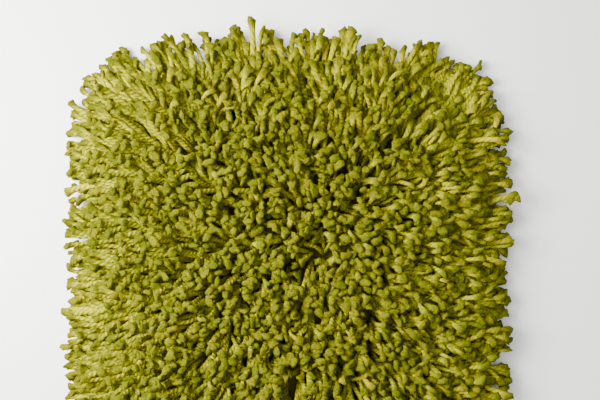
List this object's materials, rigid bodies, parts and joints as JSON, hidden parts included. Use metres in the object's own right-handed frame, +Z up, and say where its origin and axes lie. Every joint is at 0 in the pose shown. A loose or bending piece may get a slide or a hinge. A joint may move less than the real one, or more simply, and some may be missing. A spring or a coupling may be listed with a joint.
{
  "type": "shag bath mat",
  "caption": "Rectangular tufted shag bath mat with rounded corners, a deep twisted pile, a bound rim and a non-slip grip backing.",
  "frame": {"origin": "on the floor, under the middle of the mat: the bottom centre of the box that holds it", "axes": "+Z up out of the pile, +Y along the mat's long side, +X across it"},
  "size_m": [0.464, 0.664, 0.0544],
  "materials": {
    "pile_yarn": "matt two-ply twisted yarn, lime to olive green",
    "woven_backing": "plain woven scrim, matt, dyed to match the pile",
    "grip_latex": "moulded latex, satin, slightly mottled",
    "binding_tape": "twill tape, matt olive",
    "seam_thread": "spun sewing thread, slight sheen"
  },
  "bodies": {
    "root": {"grip_backing": "grip_latex", "woven_backing": "woven_backing", "edge_binding": "binding_tape", "seam_needle_thread": "seam_thread", "seam_bobbin_thread": "seam_thread", "pile_row_01": "pile_yarn", "pile_row_02": "pile_yarn", "pile_row_03": "pile_yarn", "pile_row_04": "pile_yarn", "pile_row_05": "pile_yarn", "pile_row_06": "pile_yarn", "pile_row_07": "pile_yarn", "pile_row_08": "pile_yarn", "pile_row_09": "pile_yarn", "pile_row_10": "pile_yarn", "pile_row_11": "pile_yarn", "pile_row_12": "pile_yarn", "pile_row_13": "pile_yarn", "pile_row_14": "pile_yarn", "pile_row_15": "pile_yarn", "pile_row_16": "pile_yarn", "pile_row_17": "pile_yarn", "pile_row_18": "pile_yarn", "pile_row_19": "pile_yarn", "pile_row_20": "pile_yarn", "pile_row_21": "pile_yarn", "pile_row_22": "pile_yarn", "pile_row_23": "pile_yarn", "pile_row_24": "pile_yarn", "pile_row_25": "pile_yarn", "pile_row_26": "pile_yarn", "pile_row_27": "pile_yarn", "pile_row_28": "pile_yarn", "pile_row_29": "pile_yarn", "pile_row_30": "pile_yarn", "pile_row_31": "pile_yarn"}
  },
  "joints": []
}
